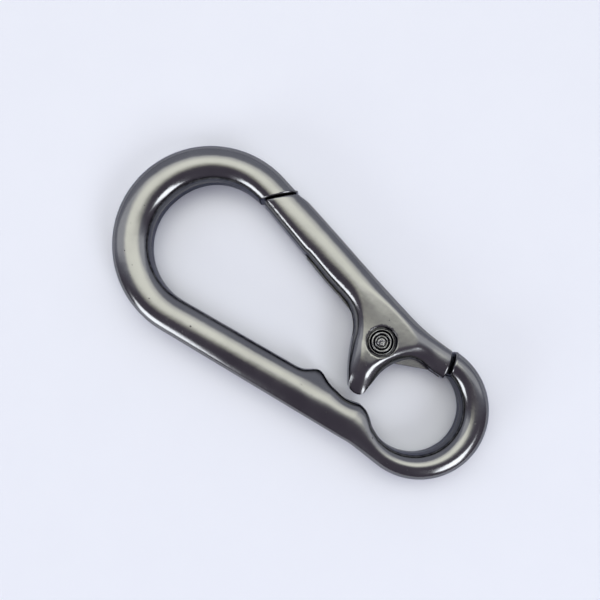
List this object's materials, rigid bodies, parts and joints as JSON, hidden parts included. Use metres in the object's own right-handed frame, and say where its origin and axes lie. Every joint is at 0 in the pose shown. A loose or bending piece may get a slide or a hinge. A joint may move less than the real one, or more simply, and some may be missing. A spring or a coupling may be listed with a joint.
{
  "type": "snap hook",
  "caption": "Die-cast spring-gate snap hook with a large bow, a small strap eye and a thumb lever that swings the gate inward.",
  "frame": {"origin": "centre of the small eye at mid-thickness", "axes": "+X from the eye towards the large bow, +Y towards the solid spine, +Z through the eye and the bow, along the rivet"},
  "size_m": [0.075, 0.034, 0.007],
  "materials": {
    "cast_frame": "satin black-nickel plating",
    "cast_gate": "satin black-nickel plating",
    "rivet_steel": "turned and plated",
    "spring_wire": "drawn wire"
  },
  "bodies": {
    "frame": {"frame": "cast_frame", "spring": "spring_wire"},
    "gate": {"gate": "cast_gate", "rivet": "rivet_steel"}
  },
  "joints": [
    {"name": "gate_pivot", "type": "hinge", "parent": "frame", "child": "gate", "pos_m": [0.0118, -0.0052, 0], "axis": [0, 0, 1], "range_deg": [0, 30], "stiffness_Nm_per_rad": 0.06, "springref_deg": -45.84, "deforming": ["spring"]}
  ]
}
